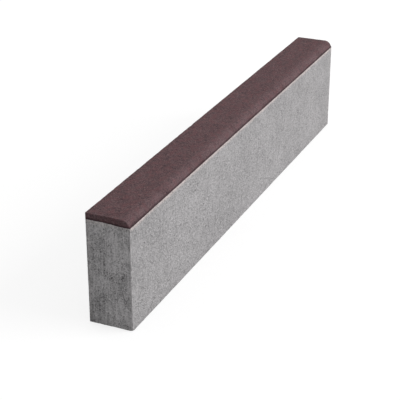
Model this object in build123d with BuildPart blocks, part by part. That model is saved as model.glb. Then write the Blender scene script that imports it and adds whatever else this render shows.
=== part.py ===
from build123d import *
import math
import os

# Garden kerb stone: one pressed concrete block that stands on its narrow base.
# Millimetres. X runs along the length, Y across the width with the rounded front edge at -Y,
# Z up. The origin is the centre of the base, on the ground.

# The block
stone_length = 1000.0
stone_width = 80.0
stone_height = 200.0

# The rounded front edge: an arc that starts level with the top face, then a straight flank
# that leans back and comes down to the front face
nose_radius = 15.0
nose_flank_lean = 28.0
nose_drop = 13.5

# The pigmented facing mix: it reaches down to the foot of the nose at the front, and is a
# little thinner at the back
facing_depth_front = nose_drop
facing_depth_back = 11.8

# The softened corners that the mould leaves on every other outer edge
arris_radius = 1.0

front_y = -stone_width / 2
back_y = stone_width / 2
end_x = stone_length / 2

# Turning points of the nose, worked out from the foot of the flank upwards
flank_angle = math.radians(nose_flank_lean)
arc_centre_z = stone_height - nose_radius
arc_end_z = arc_centre_z + nose_radius * math.sin(flank_angle)
nose_foot_z = stone_height - nose_drop
arc_end_y = front_y + (arc_end_z - nose_foot_z) * math.tan(flank_angle)
arc_centre_y = arc_end_y + nose_radius * math.cos(flank_angle)
arc_middle_angle = (math.pi / 2 + flank_angle) / 2
arc_middle_y = arc_centre_y - nose_radius * math.cos(arc_middle_angle)
arc_middle_z = arc_centre_z + nose_radius * math.sin(arc_middle_angle)

# The surface where the two mixes meet, sloping from the front line to the back line
facing_rise = facing_depth_front - facing_depth_back
layer_plane = Plane(
    origin=(0, front_y, stone_height - facing_depth_front),
    x_dir=(1, 0, 0),
    z_dir=(0, -facing_rise, stone_width),
)


# The whole pressed stone, before it is told apart into its two mixes
with BuildPart() as pressed_stone:
    with BuildSketch(Plane.YZ.offset(-end_x)) as cross_section:
        with BuildLine() as outline:
            foot = Line((back_y, 0), (front_y, 0))
            front = Line(foot @ 1, (front_y, nose_foot_z))
            flank = Line(front @ 1, (arc_end_y, arc_end_z))
            nose = ThreePointArc(
                flank @ 1,
                (arc_middle_y, arc_middle_z),
                (arc_centre_y, stone_height),
            )
            top = Line(nose @ 1, (back_y, stone_height))
            Line(top @ 1, foot @ 0)
        make_face()
    extrude(amount=stone_length)

    end_edges = pressed_stone.faces().filter_by(Axis.X).edges()
    base_edges = pressed_stone.faces().sort_by(Axis.Z)[0].edges().filter_by(Axis.X)
    back_top_edge = pressed_stone.faces().sort_by(Axis.Y)[-1].edges().filter_by(Axis.X).sort_by(Axis.Z)[-1]
    fillet(end_edges + base_edges + [back_top_edge], radius=arris_radius)


# The grey backing concrete, up to the surface where the mixes meet
with BuildPart() as concrete_body:
    add(pressed_stone.part)
    split(bisect_by=layer_plane, keep=Keep.BOTTOM)
concrete_body.part.label = "concrete_body"


# The dark facing mix on top, with the rounded front edge
with BuildPart() as facing_layer:
    add(pressed_stone.part)
    split(bisect_by=layer_plane, keep=Keep.TOP)
facing_layer.part.label = "facing_layer"


os.makedirs("parts", exist_ok=True)
for piece in (concrete_body, facing_layer):
    export_step(piece.part, f"parts/{piece.part.label}.step")
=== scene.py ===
"""A garden kerb stone: pale grey pressed concrete under a dark red-brown facing with a rounded edge.

Metres, in the frame of the CAD model: X along the length, the rounded edge at -Y, Z up,
the origin in the middle of the base.
"""
import math

import bpy
from mathutils import Matrix, Vector


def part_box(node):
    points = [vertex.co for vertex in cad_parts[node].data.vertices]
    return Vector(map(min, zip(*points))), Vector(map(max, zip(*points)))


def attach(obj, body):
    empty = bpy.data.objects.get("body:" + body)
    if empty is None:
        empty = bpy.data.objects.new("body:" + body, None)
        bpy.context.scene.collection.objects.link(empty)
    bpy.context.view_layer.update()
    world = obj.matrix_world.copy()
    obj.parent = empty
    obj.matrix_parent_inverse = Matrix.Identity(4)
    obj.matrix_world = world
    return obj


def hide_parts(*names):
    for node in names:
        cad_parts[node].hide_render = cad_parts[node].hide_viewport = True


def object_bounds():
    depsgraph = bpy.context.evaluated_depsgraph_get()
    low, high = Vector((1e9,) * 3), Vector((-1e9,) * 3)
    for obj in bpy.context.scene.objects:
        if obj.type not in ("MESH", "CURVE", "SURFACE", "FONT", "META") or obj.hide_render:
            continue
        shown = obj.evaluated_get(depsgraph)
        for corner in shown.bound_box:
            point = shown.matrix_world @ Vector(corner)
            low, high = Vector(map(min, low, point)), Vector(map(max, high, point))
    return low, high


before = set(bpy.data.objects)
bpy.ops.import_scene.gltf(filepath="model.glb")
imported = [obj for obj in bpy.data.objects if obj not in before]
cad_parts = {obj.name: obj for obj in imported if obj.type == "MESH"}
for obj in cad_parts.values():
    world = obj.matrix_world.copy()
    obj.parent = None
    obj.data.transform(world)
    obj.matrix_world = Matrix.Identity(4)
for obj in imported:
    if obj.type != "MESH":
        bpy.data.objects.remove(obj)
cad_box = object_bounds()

MM = 0.001

# Sizes of the stone, read from the frame
low_corner, high_corner = cad_box
half_length = (high_corner.x - low_corner.x) / 2
half_width = (high_corner.y - low_corner.y) / 2
height = high_corner.z - low_corner.z
front_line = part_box("facing_layer")[0].z
back_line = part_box("concrete_body")[1].z

# The rounded edge, called the nose below. From the back, the mould's section runs along the flat top,
# round the nose's arc and down its leaning flank to the front line.
nose_radius = 15 * MM
nose_lean = math.radians(28)
nose_turn = math.pi / 2 - nose_lean
nose_centre_z = height - nose_radius
nose_end_z = nose_centre_z + nose_radius * math.cos(nose_turn)
nose_end_y = -half_width + (nose_end_z - front_line) / math.tan(nose_turn)
nose_centre_y = nose_end_y + nose_radius * math.sin(nose_turn)
flat_run = half_width - nose_centre_y
flank_run = (nose_end_z - front_line) / math.sin(nose_turn)


class Wire:
    """A node's output that can stand in a sum, product or power like a number."""

    def __init__(self, graph, socket):
        self.graph = graph
        self.socket = socket

    def __add__(self, other):
        return self.graph.math("ADD", self, other)

    def __sub__(self, other):
        return self.graph.math("SUBTRACT", self, other)

    def __rsub__(self, other):
        return self.graph.math("SUBTRACT", other, self)

    def __mul__(self, other):
        return self.graph.math("MULTIPLY", self, other)

    def __truediv__(self, other):
        return self.graph.math("DIVIDE", self, other)

    def __rtruediv__(self, other):
        return self.graph.math("DIVIDE", other, self)

    def __pow__(self, other):
        return self.graph.math("POWER", self, other)

    def __neg__(self):
        return self.graph.math("MULTIPLY", self, -1.0)


class Graph:
    """A node tree under construction: groups of either kind and materials are all written with it."""

    def __init__(self, tree):
        self.tree = tree

    def feed(self, socket, value):
        """Sets an input to a number, vector, colour or material, or links a wire to it."""
        if isinstance(value, Wire):
            self.tree.links.new(value.socket, socket)
        else:
            socket.default_value = value

    def node(self, kind, inputs=None, **settings):
        """Adds a node; inputs are given by name or by number."""
        made = self.tree.nodes.new(kind)
        for name, value in settings.items():
            setattr(made, name, value)
        for key, value in (inputs or {}).items():
            self.feed(made.inputs[key], value)
        return made

    def wire(self, kind, inputs=None, output=0, **settings):
        """Adds a node and returns one of its outputs."""
        return Wire(self, self.node(kind, inputs, **settings).outputs[output])

    def math(self, operation, *values, clamp=False):
        return self.wire("ShaderNodeMath", dict(enumerate(values)), operation=operation, use_clamp=clamp)

    def vector_math(self, operation, *values):
        return self.wire("ShaderNodeVectorMath", dict(enumerate(values)), operation=operation)

    def scaled(self, vector, factor):
        return self.wire("ShaderNodeVectorMath", {"Vector": vector, "Scale": factor}, operation="SCALE")

    def length_of(self, vector):
        return self.wire("ShaderNodeVectorMath", {0: vector}, "Value", operation="LENGTH")

    def combine(self, x, y, z):
        return self.wire("ShaderNodeCombineXYZ", {"X": x, "Y": y, "Z": z})

    def split(self, vector):
        made = self.node("ShaderNodeSeparateXYZ", {"Vector": vector})
        return [Wire(self, output) for output in made.outputs]

    def step(self, value, start, end, low=0.0, high=1.0):
        """A soft ramp that goes from low at start to high at end, and stays level outside."""
        inputs = {"Value": value, "From Min": start, "From Max": end, "To Min": low, "To Max": high}
        return self.wire("ShaderNodeMapRange", inputs, interpolation_type="SMOOTHSTEP", clamp=True)

    def noise(self, vector, size, detail=2.0, roughness=0.5, seed=None):
        """Cloudy noise whose blobs are about size metres across. A seed picks another pattern."""
        inputs = {"Vector": vector, "Scale": 1 / size, "Detail": detail, "Roughness": roughness}
        if seed is None:
            return self.wire("ShaderNodeTexNoise", inputs, "Fac")
        return self.wire("ShaderNodeTexNoise", {**inputs, "W": seed}, "Fac", noise_dimensions="4D")

    def cells(self, vector, spacing):
        """Random cells: the distance to each one's middle, in cells, and three random numbers of its own."""
        made = self.node("ShaderNodeTexVoronoi", {"Vector": vector, "Scale": 1.0 / spacing}, feature="F1")
        return Wire(self, made.outputs["Distance"]), self.split(Wire(self, made.outputs["Color"]))

    def mix(self, factor, a, b):
        """a where factor is 0 and b where it is 1, for numbers."""
        return factor * (b - a) + a

    def mix_colour(self, factor, a, b):
        """Colour a where factor is 0 and colour b where it is 1."""
        made = self.node("ShaderNodeMix", data_type="RGBA", clamp_factor=True)
        named = {socket.identifier: socket for socket in made.inputs}
        self.feed(named["Factor_Float"], factor)
        self.feed(named["A_Color"], a)
        self.feed(named["B_Color"], b)
        results = {socket.identifier: socket for socket in made.outputs}
        return Wire(self, results["Result_Color"])

    def grouped(self, group, inputs):
        """Places a node group and returns its outputs by name."""
        kind = "ShaderNodeGroup" if group.bl_idname == "ShaderNodeTree" else "GeometryNodeGroup"
        made = self.node(kind, inputs, node_tree=group)
        return {output.name: Wire(self, output) for output in made.outputs}


# The kinds of named socket, each with the value that it has when nothing is given
FLOAT = ("NodeSocketFloat", 0.0)
COUNT = ("NodeSocketInt", 2)
VECTOR = ("NodeSocketVector", None)
MATERIAL = ("NodeSocketMaterial", None)
GEOMETRY = ("NodeSocketGeometry", None)


def new_group(name, kind, inputs, outputs):
    """A node group with named sockets.

    Returns its graph, its inputs by name, and a function that sets its outputs.
    """
    tree = bpy.data.node_groups.new(name, kind)
    for direction, sockets in (("INPUT", inputs), ("OUTPUT", outputs)):
        for label, (socket_type, value) in sockets.items():
            socket = tree.interface.new_socket(name=label, in_out=direction, socket_type=socket_type)
            if value is not None:
                socket.default_value = value
    graph = Graph(tree)
    entry = tree.nodes.new("NodeGroupInput")
    given = {output.name: Wire(graph, output) for output in entry.outputs if output.name in inputs}
    exit_node = tree.nodes.new("NodeGroupOutput")

    def give(**values):
        for label, value in values.items():
            graph.feed(exit_node.inputs[label], value)

    return graph, given, give


def floats(*names):
    return {name: FLOAT for name in names}


def usually(value):
    """A number's socket with a useful value of its own."""
    return ("NodeSocketFloat", value)


def picked(given, *names):
    """Some of a tree's own inputs, to hand on to a group inside it."""
    return {name: given[name] for name in names}


def centred(pattern, spread):
    """A pattern from 0 to 1 as a change up and down, spread apart in all."""
    return (pattern - 0.5) * spread


# Groups for the shape

def crowding_group():
    """Moves evenly spaced rows, from -1 to 1, closer together towards both ends."""
    inputs = {"Row": FLOAT, "Crowding": usually(0.8), "Reach": usually(12.0)}
    graph, given, give = new_group("rows_crowded_to_edges", "GeometryNodeTree", inputs, floats("Row"))
    away = graph.math("ABSOLUTE", given["Row"])
    squeeze = 1.0 - given["Crowding"] * away ** given["Reach"]
    give(Row=graph.math("SIGN", given["Row"]) * (1.0 - (1.0 - away) * squeeze))
    return graph.tree


def layer_group():
    """The height of the surface where the two mixes meet: a slope with the slight wander of wet concrete.

    It doesn't wander along the front face, where the facing ends in the foot of the rounded edge.
    """
    inputs = floats("X", "Y", "Front line", "Back line", "Half width", "Wander", "Ragged", "Seed")
    graph, given, give = new_group("layer_height", "GeometryNodeTree", inputs, floats("Height"))
    across = (given["Y"] + given["Half width"]) / (given["Half width"] * 2.0)
    slope = given["Front line"] + (given["Back line"] - given["Front line"]) * across
    place = graph.combine(given["X"], given["Y"], 0.0)
    long_wave, short_wave = [
        (graph.noise(place, size, detail=1.0, seed=given["Seed"]) - 0.5) * 2.0 * depth
        for size, depth in ((30 * MM, given["Wander"]), (7 * MM, given["Ragged"]))
    ]
    free_to_wander = graph.step(across, start=0.0, end=0.15)
    give(Height=slope + (long_wave + short_wave) * free_to_wander)
    return graph.tree


def worn_radius_group():
    """How round each stretch of corner is worn: a varying radius, with some chips and one knock."""
    inputs = {"Position": VECTOR, "Knock": VECTOR, **floats("Radius", "Wear", "Chip", "Knock size", "Seed")}
    graph, given, give = new_group("worn_radius", "GeometryNodeTree", inputs, floats("Radius"))
    position, seed = given["Position"], given["Seed"]
    wear_waves = graph.noise(position, 9 * MM, detail=2.0, seed=seed)
    chip_waves = graph.noise(position, 16 * MM, detail=3.0, seed=seed)
    worn = given["Radius"] + given["Wear"] * graph.step(wear_waves, start=0.4, end=0.75)
    chipped = given["Chip"] * graph.step(chip_waves, start=0.62, end=0.74)
    from_knock = graph.length_of(graph.vector_math("SUBTRACT", position, given["Knock"]))
    knocked = given["Knock size"] * graph.step(from_knock, start=7 * MM, end=0.0)
    give(Radius=worn + chipped + knocked)
    return graph.tree


def rounded_corner_group():
    """Rounds a corner where up to three faces meet, and says which way is out of the stone."""
    inputs = {"Position": VECTOR, "Face out": VECTOR, **floats("To end", "To side", "To face", "Radius")}
    outputs = {"Move": VECTOR, "Outward": VECTOR}
    graph, given, give = new_group("rounded_corner", "GeometryNodeTree", inputs, outputs)
    x, y, _ = graph.split(given["Position"])
    past_end, past_side, past_face = [
        graph.math("MAXIMUM", given["Radius"] - given[name], 0.0)
        for name in ("To end", "To side", "To face")
    ]
    sideways = graph.combine(graph.math("SIGN", x) * past_end, graph.math("SIGN", y) * past_side, 0.0)
    outward = graph.vector_math("ADD", sideways, graph.scaled(given["Face out"], past_face))
    never_zero = 1e-9
    length = graph.math("MAXIMUM", graph.length_of(outward), never_zero)
    excess = graph.math("MAXIMUM", 1.0 - given["Radius"] / length, 0.0)
    give(Move=graph.scaled(outward, -excess), Outward=graph.vector_math("NORMALIZE", outward))
    return graph.tree


def skin_relief_group():
    """How deep the skin of the stone lies below its true face, in slow waves."""
    inputs = {"Position": VECTOR, **floats("Waves", "Seed")}
    graph, given, give = new_group("skin_relief", "GeometryNodeTree", inputs, floats("Depth"))
    give(Depth=given["Waves"] * graph.noise(given["Position"], 45 * MM, detail=4.0, seed=given["Seed"]))
    return graph.tree


CROWDING = crowding_group()
LAYER = layer_group()
WORN_RADIUS = worn_radius_group()
ROUNDED_CORNER = rounded_corner_group()
SKIN_RELIEF = skin_relief_group()

# Sizes that both pieces share, by the names of the trees' inputs
shared_sizes = {
    "Half length": half_length,
    "Half width": half_width,
    "Front line": front_line,
    "Back line": back_line,
    "Wander": 1.3 * MM,
    "Ragged": 0.6 * MM,
    "Radius": 1.0 * MM,
    "Wear": 0.9 * MM,
    "Chip": 0.9 * MM,
    "Knock": (-half_length, -half_width, 0.0),
    "Knock size": 2.6 * MM,
    "Waves": 0.35 * MM,
    "Seed": 184.0,
}

# How the trees make a mesh. A block with more rows keeps the crowding nearer to its edges.
rows_by_axis = {"X": "Rows along", "Y": "Rows across", "Z": "Rows up"}
rows_per_reach = 9.0
weld_distance = 0.001 * MM
sharp_bend = math.radians(50)


def block_group(name, extra_floats=()):
    """A block's empty tree, with an input for each shared size and then its own."""
    inputs = {"Geometry": GEOMETRY, **floats(*shared_sizes), "Knock": VECTOR}
    inputs.update({rows: COUNT for rows in rows_by_axis.values()})
    inputs["Material"] = MATERIAL
    inputs.update(floats(*extra_floats))
    return new_group(name, "GeometryNodeTree", inputs, {"Geometry": GEOMETRY})


def start_block(graph, given):
    """A box of evenly spaced rows, from -1 to 1 each way, and its rows crowded to the edges."""
    counts = {f"Vertices {axis}": given[rows] for axis, rows in rows_by_axis.items()}
    box = graph.wire("GeometryNodeMeshCube", {"Size": (2.0, 2.0, 2.0), **counts}, "Mesh")
    crowded = []
    for row, rows in zip(graph.split(graph.wire("GeometryNodeInputPosition")), rows_by_axis.values()):
        inputs = {"Row": row, "Reach": given[rows] / rows_per_reach}
        crowded.append(graph.grouped(CROWDING, inputs)["Row"])
    return box, crowded


def layer_at(graph, given, x, y):
    """The height of the surface between the mixes at a place on the plan."""
    sizes = picked(given, "Front line", "Back line", "Half width", "Wander", "Ragged", "Seed")
    return graph.grouped(LAYER, {"X": x, "Y": y, **sizes})["Height"]


def finish_block(graph, given, give, box, place, faces_near):
    """Shapes the box, wears its corners and its skin, and gives it its material.

    faces_near takes a position and returns the distances to the nearest end, side and face,
    and that face's way out.
    """
    shaped = graph.wire("GeometryNodeSetPosition", {"Geometry": box, "Position": place})
    joined = graph.wire("GeometryNodeMergeByDistance", {"Geometry": shaped, "Distance": weld_distance})
    position = graph.wire("GeometryNodeInputPosition")
    sizes = picked(given, "Radius", "Wear", "Chip", "Knock", "Knock size", "Seed")
    radius = graph.grouped(WORN_RADIUS, {"Position": position, **sizes})["Radius"]
    near = dict(zip(("To end", "To side", "To face", "Face out"), faces_near(position)))
    corner = graph.grouped(ROUNDED_CORNER, {"Position": position, "Radius": radius, **near})
    relief = graph.grouped(SKIN_RELIEF, {"Position": position, **picked(given, "Waves", "Seed")})
    sunk = graph.scaled(corner["Outward"], -relief["Depth"])
    move = graph.vector_math("ADD", corner["Move"], sunk)
    worn = graph.wire("GeometryNodeSetPosition", {"Geometry": joined, "Offset": move})
    x, y, z = graph.split(position)
    above_seam = z - layer_at(graph, given, x, y)
    marked = graph.wire(
        "GeometryNodeStoreNamedAttribute",
        {"Geometry": worn, "Name": "above_seam", "Value": above_seam},
        data_type="FLOAT",
        domain="POINT",
    )
    bend = graph.wire("GeometryNodeInputMeshEdgeAngle", output="Unsigned Angle")
    creased = graph.wire(
        "GeometryNodeStoreNamedAttribute",
        {"Geometry": marked, "Name": "sharp_edge", "Value": graph.math("GREATER_THAN", bend, sharp_bend)},
        data_type="BOOLEAN",
        domain="EDGE",
    )
    smooth = graph.wire("GeometryNodeSetShadeSmooth", {"Geometry": creased})
    real = graph.wire("GeometryNodeRealizeInstances", {"Geometry": smooth})
    give(Geometry=graph.wire("GeometryNodeSetMaterial", {"Geometry": real, "Material": given["Material"]}))


def body_tree():
    """The grey concrete, from the base up to the layer line."""
    graph, given, give = block_group("grey_concrete_block")
    box, (along, across, up) = start_block(graph, given)
    x = along * given["Half length"]
    y = across * given["Half width"]
    z = (up + 1.0) * 0.5 * layer_at(graph, given, x, y)

    def faces_near(position):
        px, py, to_base = graph.split(position)
        to_end = given["Half length"] - graph.math("ABSOLUTE", px)
        to_side = given["Half width"] - graph.math("ABSOLUTE", py)
        return to_end, to_side, to_base, (0.0, 0.0, -1.0)

    finish_block(graph, given, give, box, graph.combine(x, y, z), faces_near)
    return graph.tree


def facing_tree():
    """The dark facing, from the layer line up, with the rounded edge at the front."""
    extra = ("Height", "Nose radius", "Nose turn", "Flat run", "Flank run")
    graph, given, give = block_group("brown_facing_block", extra)
    radius, turn, flat = (given[name] for name in ("Nose radius", "Nose turn", "Flat run"))
    nose_end = flat + radius * turn
    whole = nose_end + given["Flank run"]
    box, (along, across, up) = start_block(graph, given)
    x = along * given["Half length"]

    # The run of the section from the back edge over the top and down to the foot of the nose
    share = (1.0 - across) * 0.5
    run = share * whole
    angle = graph.math("MINIMUM", graph.math("MAXIMUM", (run - flat) / radius, 0.0), turn)
    down_flank = graph.math("MAXIMUM", run - nose_end, 0.0)
    along_flat = graph.math("MINIMUM", run, flat)
    top_y = (
        given["Half width"] - along_flat - radius * graph.math("SINE", angle)
        - down_flank * graph.math("COSINE", turn)
    )
    top_z = (
        given["Height"] - radius * (1.0 - graph.math("COSINE", angle))
        - down_flank * graph.math("SINE", turn)
    )
    low_y = given["Half width"] * (1.0 - share * 2.0)
    low_z = layer_at(graph, given, x, low_y)
    lift = (up + 1.0) * 0.5
    y = graph.mix(lift, low_y, top_y)
    z = graph.mix(lift, low_z, top_z)

    def faces_near(position):
        px, py, pz = graph.split(position)
        to_end = given["Half length"] - graph.math("ABSOLUTE", px)
        from_centre_y = py - (given["Half width"] - flat)
        from_centre_z = pz - (given["Height"] - radius)
        tilt = graph.math("ARCTAN2", -from_centre_y, from_centre_z)
        tilt = graph.math("MINIMUM", graph.math("MAXIMUM", tilt, 0.0), turn)
        out_y, out_z = -graph.math("SINE", tilt), graph.math("COSINE", tilt)
        to_top = radius - (from_centre_y * out_y + from_centre_z * out_z)
        return to_end, given["Half width"] - py, to_top, graph.combine(0.0, out_y, out_z)

    finish_block(graph, given, give, box, graph.combine(x, y, z), faces_near)
    return graph.tree


def grown(name, tree, sizes):
    """Runs a tree on an empty mesh and keeps the result as a plain mesh piece."""
    grower = bpy.data.objects.new(name + "_seed", bpy.data.meshes.new(name + "_seed"))
    bpy.context.scene.collection.objects.link(grower)
    modifier = grower.modifiers.new("shape", "NODES")
    modifier.node_group = tree
    for socket in tree.interface.items_tree:
        if socket.in_out == "INPUT" and socket.name in sizes:
            modifier[socket.identifier] = sizes[socket.name]
    evaluated = grower.evaluated_get(bpy.context.evaluated_depsgraph_get())
    mesh = bpy.data.meshes.new_from_object(evaluated)
    grower.modifiers.remove(modifier)
    bpy.data.objects.remove(grower)
    mesh.name = name
    piece = bpy.data.objects.new(name, mesh)
    bpy.context.scene.collection.objects.link(piece)
    return piece


# Groups for the look, all in metres on the piece's own coordinates

def sand_group():
    """Sand in cement paste: rounded grains of different tone, and how far each stands out."""
    inputs = {"Position": VECTOR, "Spacing": usually(2 * MM)}
    outputs = floats("Tone", "Height", "Paste")
    graph, given, give = new_group("sand_in_paste", "ShaderNodeTree", inputs, outputs)
    away, (own_size, own_tone, own_rise) = graph.cells(given["Position"], given["Spacing"])
    paste_size = given["Spacing"] * 0.45
    paste = graph.noise(given["Position"], paste_size, detail=2.0, roughness=0.65)
    smallest, largest = 0.3, 0.65
    edge = graph.mix(own_size, smallest, largest)
    uneven_away = away + centred(paste, 0.5)
    grain = graph.step(uneven_away, start=edge + 0.08, end=edge - 0.12)
    give(
        Tone=graph.mix(grain, centred(paste, 0.8) + 0.5, own_tone),
        Height=grain * graph.mix(own_rise, 0.3, 1.0) + centred(paste, 0.6),
        Paste=paste,
    )
    return graph.tree


def odd_grains_group():
    """Single grains of another colour: how much of one shows at each point, from 0 to 1."""
    inputs = {
        "Position": VECTOR,
        "Spacing": usually(5 * MM),
        "Size": usually(2 * MM),
        "Share": usually(0.5),
        "Ragged": usually(0.5),
    }
    graph, given, give = new_group("odd_grains", "ShaderNodeTree", inputs, floats("Shown"))
    away, (own_size, own_luck, own_strength) = graph.cells(given["Position"], given["Spacing"])
    smallest, faintest = 0.25, 0.35
    radius = given["Size"] * graph.mix(own_size, smallest, 1.0) / given["Spacing"]
    there = graph.math("LESS_THAN", own_luck, given["Share"]) * graph.mix(own_strength, faintest, 1.0)
    ragged_away = away / radius + centred(given["Ragged"], 3.2)
    give(Shown=graph.step(ragged_away, start=1.25, end=0.35) * there)
    return graph.tree


def cloud_group():
    """Slow changes of tone where the mix dried unevenly."""
    inputs = {"Position": VECTOR, "Size": usually(50 * MM)}
    graph, given, give = new_group("drying_clouds", "ShaderNodeTree", inputs, floats("Tone"))
    give(Tone=graph.noise(given["Position"], given["Size"], detail=3.0, roughness=0.55))
    return graph.tree


def drag_group():
    """Upright lines where the mould slid off the wet concrete."""
    inputs = {"Position": VECTOR, "Width": usually(2 * MM), "Length": usually(40 * MM)}
    graph, given, give = new_group("mould_drag_lines", "ShaderNodeTree", inputs, floats("Tone"))
    x, y, z = graph.split(given["Position"])
    squeezed = graph.combine(x / given["Width"], y / given["Width"], z / given["Length"])
    give(Tone=graph.noise(squeezed, 1.0))
    return graph.tree


def pits_group():
    """Crumbly pits where the mix didn't close: how open the surface is at each point, from 0 to 1."""
    inputs = {"Position": VECTOR, "Size": usually(2 * MM), "Level": usually(0.35)}
    graph, given, give = new_group("crumbly_pits", "ShaderNodeTree", inputs, floats("Open"))
    crumbs = graph.noise(given["Position"], given["Size"], detail=2.0, roughness=0.6)
    open_level = given["Level"] - 0.1
    give(Open=graph.step(crumbs, start=given["Level"], end=open_level))
    return graph.tree


SAND = sand_group()
PITS = pits_group()
ODD_GRAINS = odd_grains_group()
CLOUDS = cloud_group()
DRAG_LINES = drag_group()


def new_material(name):
    material = bpy.data.materials.new(name)
    material.use_nodes = True
    material.node_tree.nodes.clear()
    return material, Graph(material.node_tree)


class ConcreteLook:
    """What the two concretes share: the patterns on a piece, placed by its own coordinates."""

    def __init__(self, name, sand_spacing, grit_spacing, cloud_size):
        self.material, self.graph = new_material(name)
        self.place = self.graph.wire("ShaderNodeTexCoord", output="Object")
        self.x, self.y, self.z = self.graph.split(self.place)
        self.sand = self.graph.grouped(SAND, {"Position": self.place, "Spacing": sand_spacing})
        self.grit = self.graph.grouped(SAND, {"Position": self.place, "Spacing": grit_spacing})
        self.clouds = self.clouds_of(cloud_size)
        from_middle = self.graph.math("ABSOLUTE", self.x)
        self.on_end = self.graph.step(from_middle, start=half_length - 3 * MM, end=half_length - 1 * MM)

    def clouds_of(self, size):
        return self.graph.grouped(CLOUDS, {"Position": self.place, "Size": size})["Tone"]

    def by_face(self, side, end):
        """A strength that is one number on the sides and another on the two ends."""
        return self.graph.mix(self.on_end, side, end)

    def pits(self, size, level):
        return self.graph.grouped(PITS, {"Position": self.place, "Size": size, "Level": level})["Open"]

    def odd_grains(self, spacing, size, share):
        sizes = {"Spacing": spacing, "Size": size, "Share": share}
        inputs = {"Position": self.place, "Ragged": self.sand["Paste"], **sizes}
        return self.graph.grouped(ODD_GRAINS, inputs)["Shown"]

    def above_seam(self):
        """The height above the line where the mixes meet, which the piece's mesh carries."""
        named = {"attribute_type": "GEOMETRY", "attribute_name": "above_seam"}
        return self.graph.wire("ShaderNodeAttribute", output="Fac", **named)

    def finish(self, colour, smoothest, roughest, lift_mm):
        """Matt concrete, whose surface stands out by lift_mm and is rougher on paler sand."""
        rough = self.graph.mix(self.sand["Tone"], smoothest, roughest)
        bump = self.graph.wire("ShaderNodeBump", {"Strength": 1.0, "Distance": MM, "Height": lift_mm})
        inputs = {"Base Color": colour, "Roughness": rough, "Normal": bump, "Specular IOR Level": 0.2}
        shader = self.graph.wire("ShaderNodeBsdfPrincipled", inputs)
        self.graph.node("ShaderNodeOutputMaterial", {"Surface": shader})
        return self.material


def grey_concrete():
    """Pale grey pressed concrete: sandy, open in places, with upright drag marks on the ends."""
    dark_paste = (0.2, 0.194, 0.197, 1)
    pale_paste = (0.6, 0.583, 0.59, 1)
    pale_grain = (0.74, 0.72, 0.72, 1)
    warm_skin = (0.7, 0.62, 0.6, 1)
    painted_pit_shade = (0.07, 0.067, 0.068, 1)
    middle_tone = 0.65
    painted_light_to_front = 0.3
    fine_pit_strength = 0.5
    grain_cover = 0.5
    pit_cover = 0.85
    sand_relief_mm = 0.35
    grit_relief_mm = 0.3
    pit_depth_mm = 1.2

    look = ConcreteLook(
        "pale_grey_pressed_concrete", sand_spacing=1.9 * MM, grit_spacing=4.6 * MM, cloud_size=38 * MM
    )
    graph, sand, grit, clouds = look.graph, look.sand, look.grit, look.clouds
    smudges = look.clouds_of(120 * MM)
    drag_inputs = {"Position": look.place, "Width": 3.2 * MM, "Length": 32 * MM}
    drag = graph.grouped(DRAG_LINES, drag_inputs)["Tone"]

    # Pits and pale grains are more frequent where the mix is crumbly
    crumbly = graph.step(clouds * 0.45 + drag * 0.55, start=0.56, end=0.42)
    pit_level = look.by_face(side=0.378, end=0.35) + crumbly * look.by_face(side=0.018, end=0.08)
    coarse_pits = look.pits(size=3.0 * MM, level=pit_level - 0.02)
    fine_pits = look.pits(size=1.3 * MM, level=pit_level + 0.06)
    pits = graph.math("MAXIMUM", coarse_pits, fine_pits * fine_pit_strength)
    grains = look.odd_grains(spacing=4.7 * MM, size=1.8 * MM, share=crumbly * 0.3 + 0.25)

    # Tone of the paste and sand, from the dark to the pale colour
    tone = centred(sand["Tone"], 0.6) + centred(grit["Tone"], 0.45)
    tone = tone + centred(clouds, look.by_face(side=0.25, end=0.9))
    tone = tone + centred(drag, look.by_face(side=0.1, end=0.5))
    tone = tone + centred(smudges, look.by_face(side=0.4, end=0.0))
    # Painted light: the ends are painted paler towards the front and darker towards the back
    to_front = 0.5 - graph.step(look.y, start=-half_width * 0.6, end=half_width)
    # Painted shade: darker towards the base, more on the ends, where shade gathers near the floor
    painted_shade_at_foot = graph.step(look.z, start=60 * MM, end=0.0) * look.by_face(side=0.03, end=0.17)
    tone = tone + to_front * look.on_end * painted_light_to_front - painted_shade_at_foot + middle_tone
    colour = graph.mix_colour(tone, dark_paste, pale_paste)
    colour = graph.mix_colour(grains * grain_cover, colour, pale_grain)

    # The paler skin of fines just under the facing, with an uneven lower edge
    above_seam = look.above_seam() + centred(clouds, 7 * MM)
    above_seam = above_seam + centred(sand["Tone"], 2.5 * MM) + centred(grit["Tone"], 2.5 * MM)
    skin = graph.step(above_seam, start=-8 * MM, end=-1 * MM) * look.by_face(side=0.9, end=0.3)
    colour = graph.mix_colour(skin, colour, warm_skin)
    # Painted shade in the pits, which the bump below also sinks
    colour = graph.mix_colour(pits * pit_cover, colour, painted_pit_shade)

    drag_ridges = drag * look.by_face(side=0.1, end=0.5)
    lift_mm = sand["Height"] * sand_relief_mm + grit["Height"] * grit_relief_mm + drag_ridges
    return look.finish(colour, smoothest=0.88, roughest=0.98, lift_mm=lift_mm - pits * pit_depth_mm)


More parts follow.
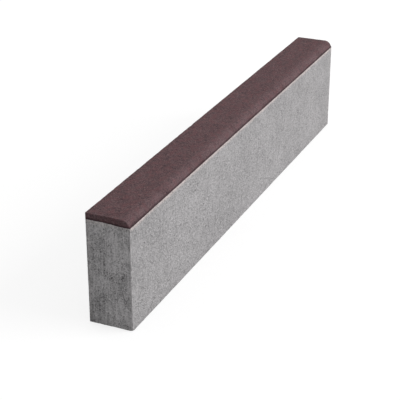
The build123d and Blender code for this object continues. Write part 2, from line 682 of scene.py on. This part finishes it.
def brown_facing():
    """Dark red-brown pigmented facing: fine sand, pressed denser and smoother than the grey."""
    dark_paste = (0.042, 0.021, 0.026, 1)
    pale_paste = (0.168, 0.1, 0.104, 1)
    rust_patch = (0.14, 0.056, 0.062, 1)
    rust_grain = (0.26, 0.105, 0.1, 1)
    pale_bloom_and_highlight = (0.24, 0.195, 0.21, 1)
    painted_seam_shade = (0.032, 0.016, 0.02, 1)
    painted_pit_shade = (0.016, 0.01, 0.012, 1)
    middle_tone = 0.45
    painted_nose_highlight = 0.11
    paler_end = 0.07
    fine_pit_strength = 0.7
    rust_cover = 0.5
    grain_cover = 0.65
    seam_shade_cover = 0.75
    pit_cover = 0.75
    sand_relief_mm = 0.28
    grit_relief_mm = 0.2
    pit_depth_mm = 0.9

    look = ConcreteLook(
        "red_brown_facing_concrete", sand_spacing=1.6 * MM, grit_spacing=3.8 * MM, cloud_size=30 * MM
    )
    graph, sand, grit, clouds = look.graph, look.sand, look.grit, look.clouds

    pit_level = graph.mix(clouds, 0.42, 0.35)
    coarse_pits = look.pits(size=2.4 * MM, level=pit_level - 0.055)
    fine_pits = look.pits(size=1.1 * MM, level=pit_level + 0.03)
    pits = graph.math("MAXIMUM", coarse_pits, fine_pits * fine_pit_strength)
    grains = look.odd_grains(spacing=4.4 * MM, size=1.6 * MM, share=0.45)

    # Tone of the paste and sand, from the dark to the pale colour, with a painted highlight on the nose and
    # a little paler on the ends
    uneven_y = look.y + centred(clouds, 20 * MM)
    on_nose = graph.step(uneven_y, start=-half_width + 25 * MM, end=-half_width + 3 * MM)
    tone = centred(sand["Tone"], 1.35) + centred(grit["Tone"], 0.75) + centred(clouds, 0.35)
    tone = tone + middle_tone + on_nose * painted_nose_highlight + look.on_end * paler_end
    colour = graph.mix_colour(tone, dark_paste, pale_paste)
    rust = graph.step(look.clouds_of(11 * MM), start=0.42, end=0.68)
    colour = graph.mix_colour(rust * rust_cover, colour, rust_patch)
    colour = graph.mix_colour(grains * grain_cover, colour, rust_grain)

    # A faint pale bloom on the ends, which on the nose is also a painted highlight, and painted shade in a
    # dark band along the foot of the facing, just above the line where the mixes meet
    # Pale bloom in patches, and on the nose a painted highlight
    bloom_and_highlight_cover = graph.step(clouds, start=0.3, end=0.6, low=0.04, high=0.15)
    bloom_and_highlight = graph.math("MAXIMUM", on_nose, look.on_end * 0.6) * bloom_and_highlight_cover
    colour = graph.mix_colour(bloom_and_highlight, colour, pale_bloom_and_highlight)
    above_seam = look.above_seam() + centred(clouds, 3 * MM)
    # Painted shade: a dark band along the foot of the facing, where the shadow line at the seam falls
    seam_shade = graph.step(above_seam, start=4.4 * MM, end=1.2 * MM)
    colour = graph.mix_colour(seam_shade * seam_shade_cover, colour, painted_seam_shade)
    # Painted shade in the pits, which the bump below also sinks
    colour = graph.mix_colour(pits * pit_cover, colour, painted_pit_shade)

    lift_mm = sand["Height"] * sand_relief_mm + grit["Height"] * grit_relief_mm - pits * pit_depth_mm
    return look.finish(colour, smoothest=0.78, roughest=0.92, lift_mm=lift_mm)


# The two pieces

body_sizes = {
    **shared_sizes,
    "Rows along": 420,
    "Rows across": 34,
    "Rows up": 78,
    "Material": grey_concrete(),
}
grey_block = grown("grey_concrete_block", body_tree(), body_sizes)
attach(grey_block, "root")
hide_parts("concrete_body")

facing_sizes = {
    **shared_sizes,
    "Height": height,
    "Nose radius": nose_radius,
    "Nose turn": nose_turn,
    "Flat run": flat_run,
    "Flank run": flank_run,
    "Rows along": 560,
    "Rows across": 60,
    "Rows up": 10,
    "Material": brown_facing(),
}
brown_cap = grown("brown_facing_cap", facing_tree(), facing_sizes)
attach(brown_cap, "root")
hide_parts("facing_layer")


# The floor, which reads white to the camera and keeps the stone's shadow

WHITE = (1, 1, 1, 1)


def looked_at(graph):
    """1 where the camera, a gloss or a glass looks, and 0 for the light that falls on the stone."""
    rays = graph.node("ShaderNodeLightPath").outputs
    looked = Wire(graph, rays["Is Camera Ray"])
    for kind in ("Is Glossy Ray", "Is Transmission Ray"):
        looked = graph.math("ADD", looked, Wire(graph, rays[kind]), clamp=True)
    return looked


def floor_material():
    """A diffuse floor with a glow that brings it to white, and makes up for the lamps' fall-off far away."""
    shade_in_light = (0.33, 0.33, 0.33, 1)
    shade_in_view = (0.3, 0.3, 0.3, 1)
    material, graph = new_material("pale_floor")
    looked = looked_at(graph)
    shade = graph.mix_colour(looked, shade_in_light, shade_in_view)
    plain = graph.wire("ShaderNodeBsdfDiffuse", {"Color": shade})
    from_stone = graph.length_of(graph.wire("ShaderNodeTexCoord", output="Object"))
    glow_level = graph.step(from_stone, start=1.0, end=5.0, low=0.75, high=0.84)
    glow = graph.wire("ShaderNodeEmission", {"Color": WHITE, "Strength": looked * glow_level})
    both = graph.wire("ShaderNodeAddShader", {0: plain, 1: glow})
    graph.node("ShaderNodeOutputMaterial", {"Surface": both})
    return material


floor_half = 30.0
floor_drop = 0.2 * MM
corner_signs = ((-1, -1), (1, -1), (1, 1), (-1, 1))
floor_corners = [(sx * floor_half, sy * floor_half, -floor_drop) for sx, sy in corner_signs]
floor_mesh = bpy.data.meshes.new("floor")
floor_mesh.from_pydata(floor_corners, [], [(0, 1, 2, 3)])
floor_mesh.materials.append(floor_material())
floor = bpy.data.objects.new("floor", floor_mesh)
bpy.context.scene.collection.objects.link(floor)


# Soft light: an even white sky, a large lamp in front of the long side and a weaker one behind

def sky(strength):
    """A sky that lights the stone with this strength, and reads white where it is looked at."""
    world = bpy.data.worlds.new("soft_white_sky")
    bpy.context.scene.world = world
    world.use_nodes = True
    world.node_tree.nodes.clear()
    graph = Graph(world.node_tree)
    seen_strength = graph.mix(looked_at(graph), strength, 1.0)
    backdrop = graph.wire("ShaderNodeBackground", {"Color": WHITE, "Strength": seen_strength})
    graph.node("ShaderNodeOutputWorld", {"Surface": backdrop})


def big_lamp(name, towards, distance, size, level):
    """A square lamp whose light alone brings a surface that faces it to level times its own colour."""
    lamp = bpy.data.lights.new(name, "AREA")
    lamp.shape = "SQUARE"
    lamp.size = size
    lamp.energy = level * math.pi ** 2 * distance ** 2
    holder = bpy.data.objects.new(name, lamp)
    bpy.context.scene.collection.objects.link(holder)
    direction = Vector(towards).normalized()
    holder.rotation_euler = direction.to_track_quat("Z", "Y").to_euler()
    holder.location = direction * distance


sky(strength=0.60)
big_lamp("front_lamp", towards=(0.2, -0.85, 0.49), distance=3.5, size=2.5, level=0.75)
big_lamp("back_fill", towards=(0.35, 0.9, 0.35), distance=3.5, size=2.5, level=0.25)


# The camera, where the photograph was taken from

camera_azimuth = math.radians(-66.08)
camera_elevation = math.radians(25.31)
camera_distance = 2.340
camera_side_step = -0.0576
camera_rise = 0.0117

camera_data = bpy.data.cameras.new("photo_camera")
camera_data.sensor_width = 36.0
camera_data.lens = 106.1
camera_data.clip_end = 100.0
camera = bpy.data.objects.new("photo_camera", camera_data)
bpy.context.scene.collection.objects.link(camera)
view_right = Vector((math.cos(camera_azimuth), math.sin(camera_azimuth), 0.0))
view_back = Vector((
    math.sin(camera_azimuth) * math.cos(camera_elevation),
    -math.cos(camera_azimuth) * math.cos(camera_elevation),
    math.sin(camera_elevation),
))
view_up = view_back.cross(view_right)
camera_place = view_back * camera_distance + view_right * camera_side_step + view_up * camera_rise
camera_turn = Matrix((view_right, view_up, view_back)).transposed().to_4x4()
camera.matrix_world = Matrix.Translation(camera_place) @ camera_turn
bpy.context.scene.camera = camera

bpy.context.scene.view_settings.view_transform = "Standard"
